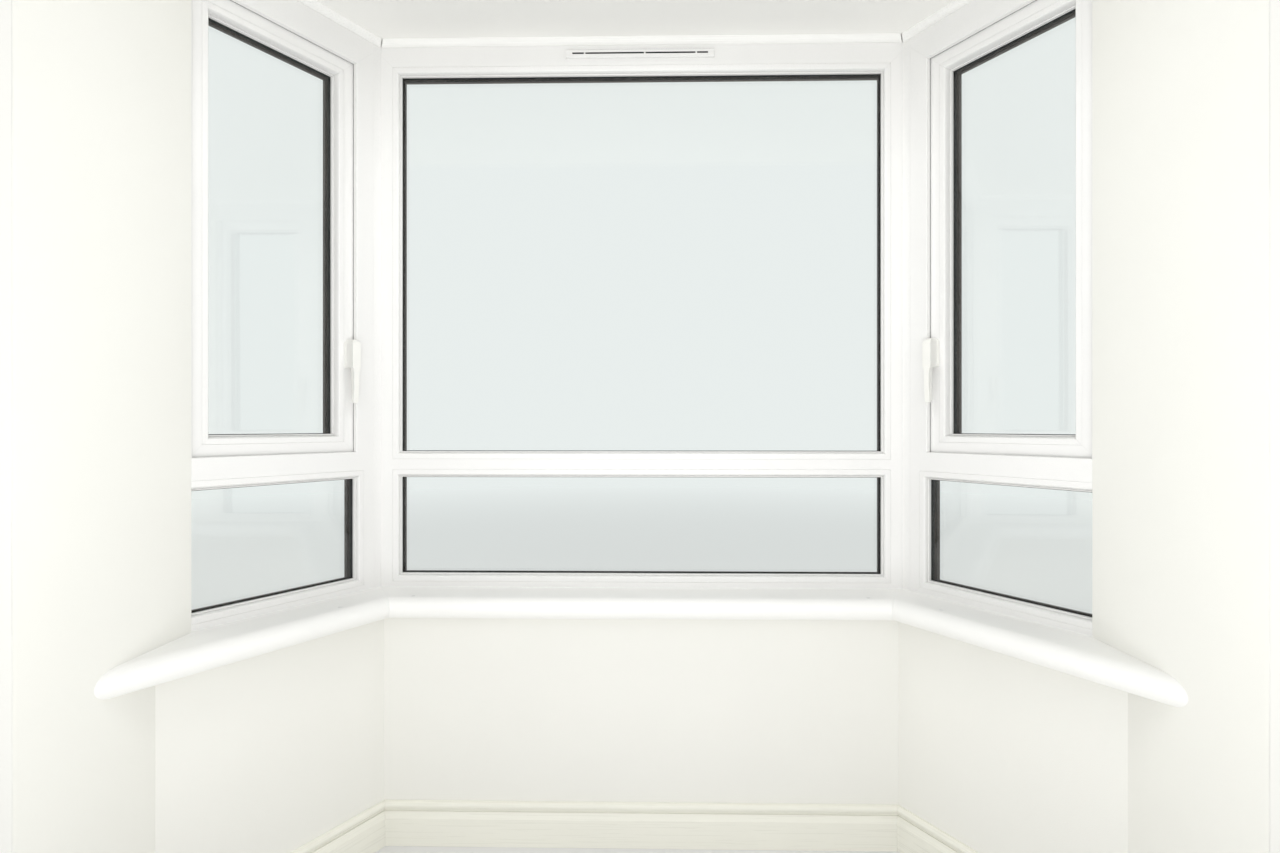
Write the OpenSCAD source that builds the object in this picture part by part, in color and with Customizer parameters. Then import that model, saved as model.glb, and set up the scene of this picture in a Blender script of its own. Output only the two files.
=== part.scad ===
/* [Plan of the bay] */
// Width between the two inner corners of the glazing
front_w = 1540; // [1300:10:2200]
// Angle that each side turns back from the front, in degrees
splay = 60; // [52:1:66]
// Width of each side frame
side_frame_w = 548; // [480:1:700]
// How far the reveal plaster covers the side frame
reveal_lap = 54; // [45:1:70]
// Thickness of the house wall that the bay stands in
house_wall_t = 460; // [300:10:520]
// Width of house wall that is kept on each side
jamb_w = 250; // [235:5:400]
// Return of the house wall past the end of the side frame
jamb_return = 32; // [20:1:45]

/* [Heights] */
// Height of the window board above the floor
board_z = 723; // [600:1:850]
// Height of the ceiling above the floor
ceiling_z = 2342; // [2250:1:2600]
// Height of the transom's middle above the floor
transom_z = 1088; // [1000:1:1250]
// Top of the welded frames, below the head extension
frame_top_z = 2298; // [2230:1:2320]

/* [Walls and roof] */
// Plastered wall face inside the frame's inner face
plaster_in = 57; // [40:1:80]
// Outer wall face beyond the frame's inner face
wall_out = 158; // [140:1:175]
// Thickness of the ceiling board
ceiling_t = 12; // [9:1:15]
// Height of the lintel
lintel_h = 206; // [190:1:300]
// Reach of the roof beyond the frame's inner face
roof_out = 200; // [195:1:300]
// Height of the roof at its outer edge
roof_h = 146; // [120:1:170]
// Rise of the roof from its outer edge to the house
roof_fall = 30; // [10:1:40]
// Thickness of the fascia boards
fascia_t = 18; // [12:1:25]
// Depth of the fascia below the roof's underside
fascia_drop = 10; // [10:1:20]
// Thickness of the soffit boards
soffit_t = 9; // [6:1:10]

/* [Frames] */
// Depth of the frames from room face to outer face
frame_d = 70; // [65:1:75]
// Flat face of a frame member
frame_face = 32; // [28:1:45]
// Flat face of the transom
transom_face = 30; // [24:1:40]
// Width of the corner post on the front's side
post_front_leg = 3; // [2:1:10]
// Width of the corner post on the sides
post_side_leg = 26; // [18:1:32]
// Width of a glazing bead
bead_w = 23; // [20:1:26]
// Depth of the bead from its face to the glass
bead_d = 22; // [20:1:24]
// Thickness of a sealed glass unit
glass_t = 28; // [24:1:28]
// Clearance round a glass unit
glass_gap = 3; // [2:1:5]
// Open joint between two mitred lengths
mitre_gap = 0.4; // [0.2:0.1:1]

/* [Sashes] */
// Width of the frame's stop that the sash shuts behind
stop_w = 24; // [18:1:28]
// Thickness of that stop
stop_t = 14; // [12:1:16]
// Thickness of the seals that the sash shuts against
seal_t = 3; // [2:0.5:4]
// Flat face of a sash member
sash_face = 29; // [26:1:36]
// Depth of the sash members
sash_d = 76; // [74:1:80]
// Bead depth in a sash
sash_bead_d = 30; // [26:1:32]
// How far the sash laps over the outside of its frame
sash_lap = 8; // [6:1:10]
// Play round the sash inside its frame
sash_play = 5; // [4:1:6]

/* [Window board and skirting] */
// Thickness of the window board
board_t = 43; // [35:1:48]
// Reach of the board's nose into the room
board_out = 137; // [120:1:170]
// Height of the half-round nose, which hangs below the board
nose_h = 60; // [50:1:64]
// Height of the skirting
skirt_h = 123; // [110:1:160]
// Thickness of the skirting
skirt_t = 17; // [15:1:22]

/* [Cill, trims and fittings] */
// Height of the cill under the frames
cill_t = 28; // [22:1:32]
// Reach of the cill beyond the frame's inner face
cill_out = 190; // [182:1:198]
// Size of the quadrant trim under the ceiling
head_trim_r = 18; // [12:1:24]
// Open joint of the quadrant trim at the corners
head_trim_gap = 4; // [1:1:6]
// Length of the trickle vent cover
vent_w = 436; // [300:2:600]
// Height of the trickle vent cover
vent_h = 24; // [20:1:28]
// Height of the vent's middle above the floor
vent_z = 2298; // [2290:1:2302]
// Height of the handle's spindle above the floor
handle_z = 1407; // [1300:1:1500]
// Width of the handle's head
handle_w = 26; // [22:1:28]
// Height of the handle's head
handle_h = 80; // [60:1:90]
// Reach of the lever below the spindle
lever_l = 141; // [120:1:160]

/* [Hidden] */
$fn = 48;

// Colours, as the finishes show
plaster_c = [0.93, 0.92, 0.89];
render_c = [0.9, 0.89, 0.86];
gloss_c = [0.96, 0.96, 0.95];
plastic_c = [0.97, 0.97, 0.97];
handle_c = [0.95, 0.94, 0.9];
brown_c = [0.2, 0.12, 0.08];
rubber_c = [0.06, 0.06, 0.06];
roof_c = [0.35, 0.36, 0.38];
glass_c = [0.7, 0.82, 0.84, 0.4];

// Derived heights
wall_top_z = board_z - board_t;
frame_z = wall_top_z + cill_t;
roof_z = ceiling_z + ceiling_t;
ring_h = frame_top_z - frame_z;
head_extra = roof_z - frame_top_z;
reach = 400;

// Derived plan
half_w = front_w / 2;
front_frame_w = front_w - 2 * post_front_leg;
side_end = post_side_leg + side_frame_w;
reveal_x = half_w + (side_end - reveal_lap) * cos(splay);
house_y = frame_d * cos(splay) - side_end * sin(splay) + jamb_return;
room_y = house_y - house_wall_t;
jamb_x = reveal_x + jamb_w;
front_edge = roof_out + fascia_t;
mid_y = (room_y + front_edge) / 2;

// Lights of a frame, from the frame's own lower corner
low_light_z = frame_face;
low_light_h = transom_z - transom_face / 2 - frame_z - frame_face;
top_light_z = transom_z + transom_face / 2 - frame_z;
top_light_h = ring_h - frame_face - top_light_z;

// Outer leg that the glass bears on, narrower than the bead
leg_back = 3;
leg_w = bead_w - leg_back;

// Sash ring, measured at the outer edge of its lap
sash_in = stop_t + seal_t;
sash_out = sash_in + sash_d;
sash_rebate = sash_lap + stop_w + sash_face;
sash_glass_d = sash_in + sash_bead_d;

// Points of the plan: s runs along the right side, o points outwards
function side_point(s, o) =
  [half_w + s * cos(splay) + o * sin(splay), o * cos(splay) - s * sin(splay)];
function corner(o) = [half_w + o * tan(splay / 2), o];
function flip(p) = [-p[0], p[1]];
function side_at_x(o, x) = side_point((x - half_w - o * sin(splay)) / cos(splay), o);
function side_at_y(o, y) = side_point((o * cos(splay) - y) / sin(splay), o);
function arc(cx, cy, rx, ry, from, to, steps) =
  [for (i = [0 : steps]) let (a = from + (to - from) * i / steps)
    [cx + rx * cos(a), cy + ry * sin(a)]];

// Puts the part's origin at the bottom middle of its box
module place() translate([0, -mid_y, 0]) children();
module on_right() translate([half_w, 0, 0]) rotate(-splay) children();

// A profile of outward distance and height, run along X
module run_along(length) rotate([90, 0, 90]) linear_extrude(length) children();
module slab(z, h) translate([0, 0, z]) linear_extrude(h) children();

// Plan zones between the mitres, gap is the open joint
module front_zone(gap = 0)
  polygon([
    corner(-reach) - [gap / 2, 0], corner(reach) - [gap / 2, 0],
    flip(corner(reach) - [gap / 2, 0]), flip(corner(-reach) - [gap / 2, 0])
  ]);
module inner_zone(gap = 0)
  polygon([
    corner(reach) + [gap / 2, 0], corner(-reach) + [gap / 2, 0],
    [corner(-reach)[0], room_y], [reveal_x, room_y], [reveal_x, reach]
  ]);
module outer_zone() {
  end_o = (house_y + side_end * sin(splay)) / cos(splay);
  polygon([
    corner(0), corner(reach), [jamb_x + reach, reach], [jamb_x + reach, house_y],
    side_point(side_end, end_o), side_point(side_end, 0)
  ]);
}

// The same run on the front and on a side
module front_run() {
  intersection() {
    translate([-half_w - reach, 0, 0]) run_along(front_w + 2 * reach) children(0);
    slab(0, roof_z + reach) children(1);
  }
}
module side_run() {
  intersection() {
    on_right() translate([-reach, 0, 0]) run_along(side_end + 3 * reach) children(0);
    slab(0, roof_z + reach) children(1);
  }
}

// Walls
module front_wall_plan()
  polygon([corner(-plaster_in), corner(wall_out), flip(corner(wall_out)), flip(corner(-plaster_in))]);
module side_wall_plan()
  polygon([
    corner(-plaster_in), side_at_x(-plaster_in, reveal_x), [reveal_x, house_y],
    side_at_y(wall_out, house_y), corner(wall_out)
  ]);
module reveal_block() {
  difference() {
    translate([reveal_x, room_y, 0]) cube([jamb_w, house_wall_t, roof_z]);
    slab(wall_top_z, roof_z)
      polygon([
        side_point(side_end, 0), side_point(side_end, reach),
        side_point(-reach, reach), side_point(-reach, 0)
      ]);
  }
}
module front_dwarf_wall() color(plaster_c) place() slab(0, wall_top_z) front_wall_plan();
module right_dwarf_wall() color(plaster_c) place() slab(0, wall_top_z) side_wall_plan();
module left_dwarf_wall() mirror([1, 0, 0]) right_dwarf_wall();
module right_reveal_wall() color(plaster_c) place() reveal_block();
module left_reveal_wall() mirror([1, 0, 0]) right_reveal_wall();
module house_lintel()
  color(render_c) place()
    translate([-jamb_x, room_y, roof_z]) cube([2 * jamb_x, house_wall_t, lintel_h]);

// Ceiling and roof
module bay_ceiling() {
  edge = side_at_x(0, reveal_x);
  color(plaster_c) place() slab(ceiling_z, ceiling_t)
    polygon([
      [-reveal_x, room_y], [reveal_x, room_y], edge, corner(0),
      flip(corner(0)), flip(edge)
    ]);
}
module roof_wedge(low_z, lift, out)
  translate([-jamb_x, 0, 0]) run_along(2 * jamb_x)
    polygon([
      [house_y, low_z], [out, low_z], [out, roof_z + roof_h + lift],
      [house_y, roof_z + roof_h + roof_fall + lift]
    ]);
module roof_plan(out)
  polygon([
    flip(side_at_y(out, house_y)), flip(corner(out)), corner(out), side_at_y(out, house_y)
  ]);
module flat_roof()
  color(roof_c) place() intersection() {
    roof_wedge(roof_z, 0, roof_out);
    slab(0, roof_z + reach) roof_plan(roof_out);
  }
module fascia_boards() {
  lip = 8;
  color(brown_c) place() intersection() {
    roof_wedge(roof_z - fascia_drop, lip, front_edge);
    union() {
      slab(0, roof_z + reach) intersection() {
        fascia_plan();
        front_zone(mitre_gap);
      }
      slab(0, roof_z + reach) fascia_side_plan();
      mirror([1, 0, 0]) slab(0, roof_z + reach) fascia_side_plan();
    }
  }
}
module fascia_plan() difference() {
  roof_plan(front_edge);
  roof_plan(roof_out);
}
module fascia_side_plan() {
  start = mitre_gap / 2;
  polygon([
    corner(roof_out) + [start, 0], corner(front_edge) + [start, 0],
    side_at_y(front_edge, house_y), side_at_y(roof_out, house_y)
  ]);
}

// Soffit boards under the roof's overhang, clear of the frames
module soffit_boards() {
  shadow_gap = 6;
  inner_o = frame_d + shadow_gap;
  start = [mitre_gap / 2, 0];
  color(brown_c) place() slab(roof_z - soffit_t, soffit_t) {
    polygon([
      corner(inner_o) - start, corner(roof_out) - start,
      flip(corner(roof_out) - start), flip(corner(inner_o) - start)
    ]);
    soffit_side_plan(inner_o, start);
    mirror([1, 0, 0]) soffit_side_plan(inner_o, start);
  }
}
module soffit_side_plan(inner_o, start)
  polygon([
    corner(inner_o) + start, corner(roof_out) + start,
    side_at_y(roof_out, house_y), side_at_y(inner_o, house_y)
  ]);

// Quadrant trim under the ceiling
module head_trim_profile()
  polygon(concat(
    [[0, ceiling_z]],
    arc(0, ceiling_z, head_trim_r, head_trim_r, 180, 270, 8)
  ));
module head_trim_side() side_run() {
  head_trim_profile();
  inner_zone(head_trim_gap);
}
module head_trim()
  color(gloss_c) place() {
    front_run() {
      head_trim_profile();
      front_zone(head_trim_gap);
    }
    head_trim_side();
    mirror([1, 0, 0]) head_trim_side();
  }

// Skirting: a bead over a groove and a sloped band, as thickness and height
module skirting_profile() {
  bead_r = 10;
  bead_c = 5;
  bead_under = -60;
  groove_h = 7;
  groove_in = 6;
  band_low = 78;
  band_top = skirt_h - 2 * bead_r - groove_h;
  band_in = 9;
  polygon(concat(
    [
      [0, 0], [skirt_t, 0], [skirt_t, band_low], [band_in, band_top],
      [groove_in, band_top], [groove_in, band_top + groove_h]
    ],
    arc(bead_c, skirt_h - bead_r, bead_r, bead_r, bead_under, 90, 10),
    [[0, skirt_h]]
  ));
}
module wall_skirting() translate([-plaster_in, 0]) mirror([1, 0]) skirting_profile();
module reveal_skirting() {
  meet_y = side_at_x(-plaster_in, reveal_x)[1];
  translate([reveal_x, meet_y, 0]) rotate([90, 0, 0])
    linear_extrude(meet_y - room_y) mirror([1, 0]) skirting_profile();
}
module front_skirting() color(gloss_c) place() front_run() {
  wall_skirting();
  front_zone();
}
module right_skirting() color(gloss_c) place() {
  side_run() {
    wall_skirting();
    inner_zone();
  }
  reveal_skirting();
}
module left_skirting() mirror([1, 0, 0]) right_skirting();

// Window boards with a half-round nose
module board_profile() {
  nose_r = nose_h / 2;
  nose_back = 10;
  back_o = nose_r + nose_back - board_out;
  polygon(concat(
    [[0, wall_top_z], [0, board_z]],
    arc(nose_r - board_out, board_z - nose_r, nose_r, nose_r, 90, 270, 20),
    [[back_o, board_z - nose_h], [back_o, wall_top_z]]
  ));
}
module front_window_board() color(gloss_c) place() front_run() {
  board_profile();
  front_zone(mitre_gap);
}
module right_window_board() color(gloss_c) place() side_run() {
  board_profile();
  inner_zone(mitre_gap);
}
module left_window_board() mirror([1, 0, 0]) right_window_board();

// Outer cills
module cill_profile() {
  flat = 78;
  fall = 9;
  lip_t = 6;
  lip_drop = 14;
  polygon([
    [0, wall_top_z], [0, frame_z], [flat, frame_z],
    [cill_out - lip_t, frame_z - fall], [cill_out, frame_z - fall - lip_t],
    [cill_out, wall_top_z - lip_drop], [cill_out - lip_t, wall_top_z - lip_drop],
    [cill_out - lip_t, wall_top_z]
  ]);
}
module front_cill() color(brown_c) place() front_run() {
  cill_profile();
  front_zone();
}
module right_cill() color(brown_c) place() side_run() {
  cill_profile();
  outer_zone();
}
module left_cill() mirror([1, 0, 0]) right_cill();

// One mitred length of a ring, and the ring of four
module ring_rail(length, deep, gap)
  intersection() {
    run_along(length) children();
    translate([0, frame_d + sash_d, 0]) rotate([90, 0, 0]) linear_extrude(2 * (frame_d + sash_d))
      polygon([
        [gap / 2, 0], [length - gap / 2, 0],
        [length - deep - gap / 2, deep], [deep + gap / 2, deep]
      ]);
  }
module ring(w, h, deep, gap = 0) {
  ring_rail(w, deep, gap) children();
  translate([0, 0, h]) mirror([0, 0, 1]) ring_rail(w, deep, gap) children();
  mirror([1, 0, -1]) ring_rail(h, deep, gap) children();
  translate([w, 0, 0]) mirror([1, 0, 0]) mirror([1, 0, -1]) ring_rail(h, deep, gap) children();
}

// Edges round a light, as outward depth and distance into the light
module bead_profile(d) {
  joint = 0.8;
  flat = 13;
  lip_w = 3;
  lip_h = 11.5;
  lip_r = 1.5;
  quirk = 1.2;
  step = d - lip_h;
  lip_at = bead_w - lip_w;
  polygon(concat(
    [[d, 0], [joint, 0], [0, joint], [0, flat]],
    arc(step, flat, step, lip_at - quirk - flat, 180, 90, 8),
    [[step + quirk, lip_at - quirk], [step + quirk, lip_at], [step, lip_at]],
    arc(step + lip_r, bead_w - lip_r, lip_r, lip_r, 180, 90, 4),
    [[d, bead_w]]
  ));
}
module stop_profile() {
  edge_r = 3;
  polygon(concat(
    [[stop_t, 0], [0, 0]],
    arc(edge_r, stop_w - edge_r, edge_r, edge_r, 180, 90, 6),
    [[stop_t, stop_w]]
  ));
}
module glass_leg(front_d, back_d) {
  bevel = 5;
  polygon([
    [front_d, 0], [back_d, 0], [back_d, leg_w - bevel], [back_d - bevel, leg_w], [front_d, leg_w]
  ]);
}

// Frame with its transom, in its own corner coordinates
module frame_body(w) {
  ring(w, ring_h, frame_face) square([frame_d, frame_face]);
  translate([0, 0, ring_h]) cube([w, frame_d, head_extra]);
  translate([frame_face, 0, top_light_z - transom_face])
    cube([w - 2 * frame_face, frame_d, transom_face]);
}
module fixed_lining(w, h) ring(w, h, bead_w) glass_leg(bead_d + glass_t, frame_d);
module sash_lining(w, h) ring(w, h, stop_w) stop_profile();
module at_low_light() translate([frame_face, 0, low_light_z]) children();
module at_top_light() translate([frame_face, 0, top_light_z]) children();
module at_side_frame() on_right() translate([post_side_leg, 0, frame_z]) children();
module at_front_frame() translate([-front_frame_w / 2, 0, frame_z]) children();

front_light_w = front_frame_w - 2 * frame_face;
side_light_w = side_frame_w - 2 * frame_face;

module front_frame() color(plastic_c) place() at_front_frame() {
  frame_body(front_frame_w);
  at_low_light() fixed_lining(front_light_w, low_light_h);
  at_top_light() fixed_lining(front_light_w, top_light_h);
}
module right_frame() color(plastic_c) place() at_side_frame() {
  frame_body(side_frame_w);
  at_low_light() fixed_lining(side_light_w, low_light_h);
  at_top_light() sash_lining(side_light_w, top_light_h);
}
module left_frame() mirror([1, 0, 0]) right_frame();

// Corner posts between the frames' square ends, and their outer covers
module right_corner_post() color(plastic_c) place() slab(frame_z, roof_z - frame_z)
  polygon([
    [half_w - post_front_leg, 0], corner(0), side_point(post_side_leg, 0),
    side_point(post_side_leg, frame_d), corner(frame_d), [half_w - post_front_leg, frame_d]
  ]);
module left_corner_post() mirror([1, 0, 0]) right_corner_post();
module right_post_cover() {
  cover_t = 5;
  cover_lap = 14;
  front_x = half_w - post_front_leg - cover_lap;
  side_s = post_side_leg + cover_lap;
  color(brown_c) place() slab(frame_z, roof_z - frame_z)
    polygon([
      [front_x, frame_d], corner(frame_d), side_point(side_s, frame_d),
      side_point(side_s, frame_d + cover_t), corner(frame_d + cover_t),
      [front_x, frame_d + cover_t]
    ]);
}
module left_post_cover() mirror([1, 0, 0]) right_post_cover();

// Sashes: a body inside the frame and a lap over the frame's outer face
sash_w = side_light_w + 2 * sash_lap;
sash_h = top_light_h + 2 * sash_lap;
module sash_profile() {
  body = sash_lap + sash_play;
  lap_d = frame_d + seal_t;
  glass_back = sash_glass_d + glass_t;
  leg_end = sash_rebate + leg_w;
  edge = 3;
  bevel = 5;
  polygon([
    [lap_d, 0], [lap_d, body], [sash_in, body], [sash_in, sash_rebate],
    [glass_back, sash_rebate], [glass_back, leg_end], [sash_out - bevel, leg_end],
    [sash_out, leg_end - bevel], [sash_out, edge], [sash_out - edge, 0]
  ]);
}
module at_sash() at_side_frame() at_top_light() translate([-sash_lap, 0, -sash_lap]) children();
module at_sash_light() at_sash() translate([sash_rebate, 0, sash_rebate]) children();
sash_light_w = sash_w - 2 * sash_rebate;
sash_light_h = sash_h - 2 * sash_rebate;
module right_sash() color(plastic_c) place() at_sash()
  ring(sash_w, sash_h, sash_rebate + bead_w) sash_profile();
module left_sash() mirror([1, 0, 0]) right_sash();

// Rubber seals between sash and frame: one behind the stop, one under the lap
module inner_seal_profile() {
  hold = 8;
  recess = 1;
  translate([stop_t, stop_w - recess - hold]) square([seal_t, hold]);
}
module outer_seal_profile() {
  recess = 1;
  translate([frame_d, recess]) square([seal_t, sash_lap - 2 * recess]);
}
module right_sash_seal() color(rubber_c) place() {
  at_side_frame() at_top_light() ring(side_light_w, top_light_h, stop_w) inner_seal_profile();
  at_sash() ring(sash_w, sash_h, sash_lap) outer_seal_profile();
}
module left_sash_seal() mirror([1, 0, 0]) right_sash_seal();

// Glass units
module glass_unit(w, h, depth)
  translate([glass_gap, depth, glass_gap]) cube([w - 2 * glass_gap, glass_t, h - 2 * glass_gap]);
module front_upper_glass() color(glass_c) place() at_front_frame() at_top_light()
  glass_unit(front_light_w, top_light_h, bead_d);
module front_lower_glass() color(glass_c) place() at_front_frame() at_low_light()
  glass_unit(front_light_w, low_light_h, bead_d);
module right_lower_glass() color(glass_c) place() at_side_frame() at_low_light()
  glass_unit(side_light_w, low_light_h, bead_d);
module left_lower_glass() mirror([1, 0, 0]) right_lower_glass();
module right_sash_glass() color(glass_c) place() at_sash_light()
  glass_unit(sash_light_w, sash_light_h, sash_glass_d);
module left_sash_glass() mirror([1, 0, 0]) right_sash_glass();

// Glazing beads
module beads(w, h, d) ring(w, h, bead_w, mitre_gap) bead_profile(d);
module front_upper_beads() color(plastic_c) place() at_front_frame() at_top_light()
  beads(front_light_w, top_light_h, bead_d);
module front_lower_beads() color(plastic_c) place() at_front_frame() at_low_light()
  beads(front_light_w, low_light_h, bead_d);
module right_lower_beads() color(plastic_c) place() at_side_frame() at_low_light()
  beads(side_light_w, low_light_h, bead_d);
module left_lower_beads() mirror([1, 0, 0]) right_lower_beads();
module right_sash_beads() color(plastic_c) place() at_sash_light() translate([0, sash_in, 0])
  beads(sash_light_w, sash_light_h, sash_bead_d);
module left_sash_beads() mirror([1, 0, 0]) right_sash_beads();

// Casement handle: an oblong base, a rounded head and a hanging lever
module handle_front() {
  head_r = handle_w / 2;
  half_h = handle_h / 2;
  tip_r = 8;
  shoulder_h = 25;
  translate([0, half_h - head_r]) circle(head_r);
  translate([-head_r, -half_h]) square([handle_w, handle_h - head_r]);
  polygon(concat(
    arc(head_r, -half_h - shoulder_h, head_r - tip_r, shoulder_h, 90, 180, 6),
    [[tip_r, tip_r - lever_l], [-tip_r, tip_r - lever_l]],
    arc(-head_r, -half_h - shoulder_h, head_r - tip_r, shoulder_h, 0, 90, 6)
  ));
  translate([0, tip_r - lever_l]) circle(tip_r);
}
module handle_side() {
  head_out = 37;
  top_r = 16;
  blade_t = 13;
  tip_t = 8;
  tip_in = 4;
  half_h = handle_h / 2;
  mid_z = -(half_h + lever_l) / 2;
  polygon(concat(
    [[0, -half_h], [0, half_h]],
    arc(top_r - head_out, half_h - top_r, top_r, top_r, 90, 180, 8),
    [
      [-head_out, mid_z], [tip_in - head_out, -lever_l], [tip_in + tip_t - head_out, -lever_l],
      [blade_t - head_out, mid_z], [blade_t - head_out, -half_h]
    ]
  ));
}
module handle_base() {
  rim = 1;
  base_t = 9;
  bevel = 2;
  base_r = handle_w / 2 + rim;
  half = handle_h / 2 + rim - base_r;
  low_t = base_t - bevel;
  for (z = [-half, half]) translate([0, 0, z]) rotate([90, 0, 0]) {
    cylinder(r = base_r, h = low_t);
    translate([0, 0, low_t]) cylinder(r1 = base_r, r2 = base_r - bevel, h = bevel);
  }
  translate([0, 0, -half]) linear_extrude(2 * half)
    polygon([
      [-base_r, 0], [base_r, 0], [base_r, -low_t], [base_r - bevel, -base_t],
      [bevel - base_r, -base_t], [-base_r, -low_t]
    ]);
}
module handle() {
  handle_base();
  intersection() {
    rotate([90, 0, 0]) linear_extrude(reach) handle_front();
    translate([-handle_w, 0, 0]) run_along(2 * handle_w) handle_side();
  }
}
module right_handle() color(handle_c) place()
  on_right() translate([
    post_side_leg + frame_face + stop_w + sash_face / 2, sash_in, handle_z
  ]) handle();
module left_handle() mirror([1, 0, 0]) right_handle();

// Trickle vent: a hollow cover with its slots in four runs
module vent_profile(t, h, edge)
  polygon([
    [0, -h / 2], [edge - t, -h / 2], [-t, edge - h / 2],
    [-t, h / 2 - edge], [edge - t, h / 2], [0, h / 2]
  ]);
module trickle_vent() {
  vent_t = 9;
  skin = 2;
  edge = 3;
  slot_h = 5;
  bridge = 5;
  runs = [34, 172, 146, 32];
  first = -(runs[0] + runs[1] + runs[2] + runs[3] + 3 * bridge) / 2;
  starts = [
    first, first + runs[0] + bridge, first + runs[0] + runs[1] + 2 * bridge,
    first + runs[0] + runs[1] + runs[2] + 3 * bridge
  ];
  color(plastic_c) place() translate([0, 0, vent_z]) difference() {
    translate([-vent_w / 2, 0, 0]) run_along(vent_w) vent_profile(vent_t, vent_h, edge);
    translate([skin - vent_w / 2, 0, 0]) run_along(vent_w - 2 * skin)
      vent_profile(vent_t - skin, vent_h - 2 * skin, skin);
    for (i = [0 : 3])
      translate([starts[i], -2 * vent_t, -slot_h / 2]) cube([runs[i], 2 * vent_t, slot_h]);
  }
}

front_dwarf_wall();
left_dwarf_wall();
right_dwarf_wall();
left_reveal_wall();
right_reveal_wall();
house_lintel();
bay_ceiling();
flat_roof();
fascia_boards();
soffit_boards();
head_trim();
front_skirting();
left_skirting();
right_skirting();
front_window_board();
left_window_board();
right_window_board();
front_frame();
left_frame();
right_frame();
left_corner_post();
right_corner_post();
left_post_cover();
right_post_cover();
left_sash();
right_sash();
left_sash_seal();
right_sash_seal();
front_upper_glass();
front_lower_glass();
left_sash_glass();
right_sash_glass();
left_lower_glass();
right_lower_glass();
front_upper_beads();
front_lower_beads();
left_sash_beads();
right_sash_beads();
left_lower_beads();
right_lower_beads();
left_handle();
right_handle();
trickle_vent();
front_cill();
left_cill();
right_cill();
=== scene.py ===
import math

import bmesh
import bpy
from bpy.props import FloatProperty, FloatVectorProperty, PointerProperty
from mathutils import Matrix, Vector


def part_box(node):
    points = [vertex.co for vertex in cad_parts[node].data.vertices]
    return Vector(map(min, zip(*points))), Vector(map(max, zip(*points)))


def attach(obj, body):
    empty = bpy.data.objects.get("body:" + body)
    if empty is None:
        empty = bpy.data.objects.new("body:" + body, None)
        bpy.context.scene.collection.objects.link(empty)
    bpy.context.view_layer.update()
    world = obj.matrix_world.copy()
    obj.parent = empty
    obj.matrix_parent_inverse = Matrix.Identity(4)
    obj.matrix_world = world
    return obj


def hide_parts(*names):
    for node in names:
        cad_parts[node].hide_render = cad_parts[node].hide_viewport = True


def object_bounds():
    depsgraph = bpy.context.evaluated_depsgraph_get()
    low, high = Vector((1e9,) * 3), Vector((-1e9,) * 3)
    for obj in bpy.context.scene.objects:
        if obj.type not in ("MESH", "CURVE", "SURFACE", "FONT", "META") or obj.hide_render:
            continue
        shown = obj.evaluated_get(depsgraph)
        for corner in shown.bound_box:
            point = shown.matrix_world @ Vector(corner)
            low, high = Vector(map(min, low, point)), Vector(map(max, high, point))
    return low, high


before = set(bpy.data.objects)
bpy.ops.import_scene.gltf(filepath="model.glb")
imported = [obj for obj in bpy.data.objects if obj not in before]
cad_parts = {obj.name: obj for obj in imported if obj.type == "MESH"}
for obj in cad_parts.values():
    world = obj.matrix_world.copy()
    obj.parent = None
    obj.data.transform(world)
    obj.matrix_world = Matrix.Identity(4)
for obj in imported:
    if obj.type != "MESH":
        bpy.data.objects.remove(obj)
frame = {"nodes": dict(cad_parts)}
CAD_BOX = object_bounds()

bl_info = {
    "name": "Bay window finishes",
    "version": (1, 0, 0),
    "blender": (4, 5, 0),
    "location": "View3D > Sidebar > Bay Window",
    "description": "Finishes, glazing, fittings and stage of a three-sided bay window",
    "category": "Object",
}

# Plan of the bay, from the solids
SPLAY = math.radians(60)
TURNS = {"front": 0.0, "left": SPLAY, "right": -SPLAY}
SIDES = ("left", "right")
LIGHTS = {
    "front_upper": "front",
    "front_lower": "front",
    "left_sash": "left",
    "left_lower": "left",
    "right_sash": "right",
    "right_lower": "right",
}


def turned_box(node, turn):
    """Lowest and highest corner of a node in its wall's own axes: x along the wall, y outwards."""
    back = Matrix.Rotation(-turn, 3, "Z")
    points = [back @ v.co for v in frame["nodes"][node].data.vertices]
    low = Vector([min(p[i] for p in points) for i in range(3)])
    high = Vector([max(p[i] for p in points) for i in range(3)])
    return low, high


def board_top():
    """Height of the window board's top."""
    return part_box("front_window_board")[1].z


def inner_face(wall):
    """Where the inner face of a wall's frame is, in the wall's own axes."""
    return turned_box(f"{wall}_frame", TURNS[wall])[0].y


def inner_corner():
    """The bay's right corner on the frames' inner faces, as seen from above."""
    face = inner_face("front")
    back = Matrix.Rotation(TURNS["right"], 3, "Z")
    start = back @ Vector((0.0, inner_face("right"), 0.0))
    along = back @ Vector((1.0, 0.0, 0.0))
    return start + along * ((face - start.y) / along.y)


def wall_ends(wall, corner, reveal, out):
    """Where a strip inside a wall's frame starts and ends, at a distance into the room."""
    widening = out * math.tan(SPLAY / 2)
    if wall == "front":
        end = corner.x - widening
        return -end, end
    start = (Matrix.Rotation(SPLAY, 3, "Z") @ corner).x
    length = (reveal - corner.x) / math.cos(SPLAY)
    near = start + widening
    far = start + length + out * math.tan(SPLAY)
    return (near, far) if wall == "right" else (-far, -near)


# Mesh making
def add_box(bm, low, high):
    """A box between two corners."""
    spans = list(zip(low, high))
    v = [bm.verts.new((x, y, z)) for x in spans[0] for y in spans[1] for z in spans[2]]
    for face in ((0, 1, 3, 2), (4, 6, 7, 5), (0, 4, 5, 1), (2, 3, 7, 6), (0, 2, 6, 4), (1, 5, 7, 3)):
        bm.faces.new([v[i] for i in face])


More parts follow.
